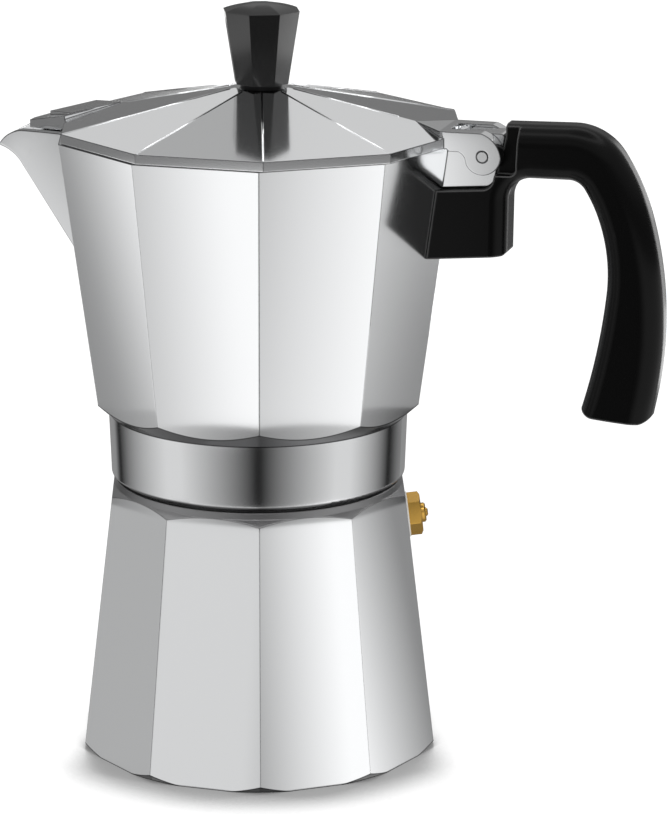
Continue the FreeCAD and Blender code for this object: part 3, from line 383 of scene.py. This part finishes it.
# Studio: white surroundings, and rings of light and dark strips that only reflections see
CAMERA_AZIMUTH = math.atan2(CAMERA_PLACE.y, CAMERA_PLACE.x)
RING_FOOT, RING_STEPS = 0.4 * MM, 180
RING_RADIUS, RING_TOP = 0.19, 0.165
RING_DARK_FROM, RING_DARK_DROP = 0.137, 5 * MM
RING_DARK = (0.18, 0.18, 0.18, 1)
COLLAR_RING_RADIUS, COLLAR_RING_TOP = 0.07, 0.083
BOILER_RING_FOOT, BOILER_RING_RADIUS, BOILER_RING_TOP = 0.0475, 0.056, 0.0705
# Upper edge of the boiler's strips, and how much lower it lies beside and behind the pot
STRIP_EDGE, STRIP_DROP_BESIDE, STRIP_DROP_BEHIND = 69.6 * MM, 3.1 * MM, 2.5 * MM
# Panels of each ring: where they start and end, in degrees from the camera towards the handle side, and their display
# grey, above 255 for a lamp. The light runs evenly from one panel to the next.
BLACK, DARK, GREY, SOFT, LIGHT, LAMP = 20, 90, 140, 175, 215, 260
UPPER_STRIPS = [(-180, -140, GREY), (-130, -115, LIGHT), (-107, -103, GREY), (-95, -60, LAMP), (-46, -42, SOFT),
                (-30, -20, LAMP), (-5, 15, DARK), (40, 90, LAMP), (105, 180, GREY)]
COLLAR_STRIPS = [(-180, -115, GREY), (-106, -104, BLACK), (-55, -45, LIGHT), (-1, 1, BLACK), (45, 55, LIGHT),
                 (91, 93, BLACK), (115, 180, GREY)]
BOILER_STRIPS = [(-180, -120, GREY), (-100, -65, SOFT), (-45, -15, LIGHT), (4, 6, GREY), (32, 62, LAMP),
                 (84, 180, GREY)]
SIDE_LAMP = (2.4, 2.4, 2.4, 1)
# The lamp behind the handle: its ends in degrees, its foot, and the heights between which the handle's block cuts it
LAMP_START, LAMP_END, LAMP_CUT = (100, 103), 126, 11
LAMP_FOOT, LAMP_FOOT_DROP, LAMP_DROP_FROM = 90 * MM, 32 * MM, (106, 112)
BLOCK_LOW, BLOCK_HIGH = (94 * MM, 100 * MM), (138 * MM, 143 * MM)
# The floor's shadow: how far it reaches, the open shares from dark to lit, and how much less beside the pot
SHADOW_REACH = 0.03
SHADOW_DARK, SHADOW_LIT = (0.66, 0.36), (0.93, 0.33)
SHADOW_GLOW, FLOOR_GLOW, FLOOR_PAINT = [(tone, tone, tone, 1) for tone in (0.1, 0.8, 0.3)]
FLOOR_REACH = 6


def facing(board):
    """The angle around the pot from the camera's side, -pi to pi."""
    x, y = board.spot()[:2]
    turn = y.maths("ARCTAN2", y, x) - CAMERA_AZIMUTH
    return turn.maths("WRAP", turn, math.pi, -math.pi)


def past(turn, start, end):
    """0 before one angle, 1 after another, in degrees."""
    return turn.step(math.radians(start), math.radians(end))


def beside(turn, start, end):
    """0 in front of the pot, 1 beside and behind it, from start to end in degrees."""
    return past(turn.size(), start, end)


def floor_finish():
    """White, with the pot's soft shadow on it where the pot stands close."""
    material = bpy.data.materials.new("floor_white")
    board = Board(material)
    open_share = board.node("ShaderNodeAmbientOcclusion", {"samples": 16}, {"Distance": SHADOW_REACH}, "AO")
    away = beside(facing(board), 50, 95)
    lit = open_share.step(*(share - away * less for share, less in (SHADOW_DARK, SHADOW_LIT)))
    tone = board.mixed(lit, SHADOW_GLOW, FLOOR_GLOW)
    glow = board.node("ShaderNodeEmission", None, {"Color": tone, "Strength": 1.0})
    paint = board.node("ShaderNodeBsdfDiffuse", None, {"Color": FLOOR_PAINT})
    both = board.node("ShaderNodeAddShader", None, {0: glow, 1: paint})
    board.node("ShaderNodeOutputMaterial", None, {"Surface": both})
    return material


def add_floor():
    shape = bmesh.new()
    bmesh.ops.create_grid(shape, x_segments=1, y_segments=1, size=FLOOR_REACH)
    new_piece("floor", shape, floor_finish())


def facing_over_floor(board):
    """The angle at which the mirrored view through a point of the boiler's ring gets as far out as the collar's ring.

    The front facets mirror one way and the facets beside them another, each 36 degrees or 108 from the camera's.
    """
    turn, far = facing(board), reach(board)
    aside = turn.size()
    way = math.radians(36) + past(aside, 35.9, 36.1) * math.radians(72)
    lean = aside.maths("COSINE", way - aside) * far
    onward = (lean * lean + COLLAR_RING_RADIUS ** 2 - far * far).root() - lean
    ahead = far * aside.maths("COSINE", aside) + onward * way.maths("COSINE", way)
    across = far * aside.maths("SINE", aside) + onward * way.maths("SINE", way)
    return turn.maths("SIGN", turn) * turn.maths("ARCTAN2", across, ahead)


def strips_around(board, strips, turn):
    stops = [((edge + 180) / 360, light_of(grey)) for start, end, grey in strips for edge in (start, end)]
    return board.node("ShaderNodeValToRGB", {"stops": stops}, {"Fac": turn / (2 * math.pi) + 0.5})


def glow_finish(name, paint, share=None):
    """Light painted around a ring, and clear where a given share is 0."""
    material = bpy.data.materials.new(name)
    board = Board(material)
    glow = board.node("ShaderNodeEmission", None, {"Color": paint(board), "Strength": 1.0})
    if share:
        clear = board.node("ShaderNodeBsdfTransparent")
        glow = board.node("ShaderNodeMixShader", None, {0: share(board), 1: clear, 2: glow})
    board.node("ShaderNodeOutputMaterial", None, {"Surface": glow})
    return material


def upper_tone(board):
    """Strips, a lamp behind the handle, and a dark band at the height that the lid's rim mirrors."""
    turn, height = facing(board), board.spot()[2]
    strips = strips_around(board, UPPER_STRIPS, turn)
    dark = (height - RING_DARK_FROM + beside(turn, 60, 90) * RING_DARK_DROP).step(0, 3 * MM)
    low = LAMP_FOOT - past(turn, *LAMP_DROP_FROM) * LAMP_FOOT_DROP
    end = math.radians(LAMP_END) - height.within(BLOCK_LOW, BLOCK_HIGH) * math.radians(LAMP_CUT)
    lamp = (height - low).step(0, 8 * MM) * past(turn, *LAMP_START)
    lamp *= 1 - (turn - end).step(-0.04, 0.04)
    return board.mixed(lamp, board.mixed(dark, strips, RING_DARK), SIDE_LAMP)


def boiler_tone(board):
    return strips_around(board, BOILER_STRIPS, facing_over_floor(board))


def boiler_share(board):
    """1 on the part of its ring that the boiler mirrors, which ends lower beside and behind the pot."""
    turn = facing(board)
    edge = STRIP_EDGE - beside(turn, 40, 58) * STRIP_DROP_BESIDE - beside(turn, 85, 105) * STRIP_DROP_BEHIND
    return 1 - (board.spot()[2] - edge).step(-0.15 * MM, 0.15 * MM)


def collar_tone(board):
    return strips_around(board, COLLAR_STRIPS, facing(board))


def add_ring(name, material, rows):
    """A wall around the pot, spun from rows of radius and height, that only reflections see."""
    shape = bmesh.new()
    profile = [shape.verts.new((radius, 0, height)) for radius, height in rows]
    profile += [shape.edges.new(ends) for ends in zip(profile, profile[1:])]
    bmesh.ops.spin(shape, geom=profile, cent=(0, 0, 0), axis=(0, 0, 1), angle=2 * math.pi, steps=RING_STEPS,
                   use_merge=True)
    ring = new_piece(name, shape, material)
    ring.visible_camera = False
    ring.visible_diffuse = False
    ring.visible_shadow = False
    ring.visible_transmission = False


def add_rings():
    add_ring("upper_strips", glow_finish("upper_strip_light", upper_tone),
             [(RING_RADIUS, RING_FOOT), (RING_RADIUS, RING_TOP)])
    add_ring("collar_strips", glow_finish("collar_strip_light", collar_tone),
             [(COLLAR_RING_RADIUS, RING_FOOT), (COLLAR_RING_RADIUS, COLLAR_RING_TOP)])
    add_ring("boiler_strips", glow_finish("boiler_strip_light", boiler_tone, boiler_share),
             [(BOILER_RING_FOOT, RING_FOOT), (BOILER_RING_RADIUS, RING_FOOT), (BOILER_RING_RADIUS, BOILER_RING_TOP)])


# Display greys of the surroundings in reflections, by the height of the view above the horizon, from 0 to 1,
# with a ring of lamps overhead and a dark flag behind the pot on the camera's left
SKY = [(0.0, 112), (0.17, 118), (0.27, 168), (0.38, 208), (0.46, 208), (0.54, 212), (0.7, 215), (0.83, 208),
       (0.86, 390), (0.91, 390), (0.94, 208), (1.0, 196)]
FLAG, FLAG_LOW, FLAG_HIGH, FLAG_SIDE = 0.38, (0.46, 0.5), (0.62, 0.68), (-0.05, 0.06)
# A lamp low behind the pot, on the camera's right, for the bend of the handle
BEND_LAMP_START, BEND_LAMP_END, BEND_LAMP_TOP, BEND_LAMP_BACK = (0.42, 0.46), (0.58, 0.63), (0.3, 0.36), (0.3, 0.5)
SURROUNDINGS = (1.15, 1.15, 1.15, 1)


def set_world():
    world = bpy.data.worlds.new("studio")
    bpy.context.scene.world = world
    board = Board(world)
    place = board.node("ShaderNodeTexCoord", output="Generated")
    x, y, height = [board.node("ShaderNodeSeparateXYZ", None, {0: place}, axis) for axis in range(3)]
    sky = board.node("ShaderNodeValToRGB", {"stops": [(p, light_of(g)) for p, g in SKY]}, {"Fac": height})
    side = x * CAMERA_RIGHT.x + y * CAMERA_RIGHT.y
    flag = height.within(FLAG_LOW, FLAG_HIGH) * (1 - side.step(*FLAG_SIDE)) * FLAG
    lamp = side.within(BEND_LAMP_START, BEND_LAMP_END) * (1 - height.step(*BEND_LAMP_TOP))
    lamp *= (x * CAMERA_AHEAD.x + y * CAMERA_AHEAD.y).step(*BEND_LAMP_BACK)
    shaded = board.mixed(lamp, board.mixed(flag, sky, (0, 0, 0, 1)), SIDE_LAMP)
    mirrored = board.node("ShaderNodeLightPath", output="Is Glossy Ray")
    tone = board.mixed(mirrored, SURROUNDINGS, shaded)
    surface = board.node("ShaderNodeBackground", None, {"Color": tone, "Strength": 1.0})
    board.node("ShaderNodeOutputWorld", None, {"Surface": surface})


add_spring_coil()
add_ridge_beads()
add_floor()
add_rings()
set_world()
set_camera()
bpy.context.scene.view_settings.view_transform = "Standard"
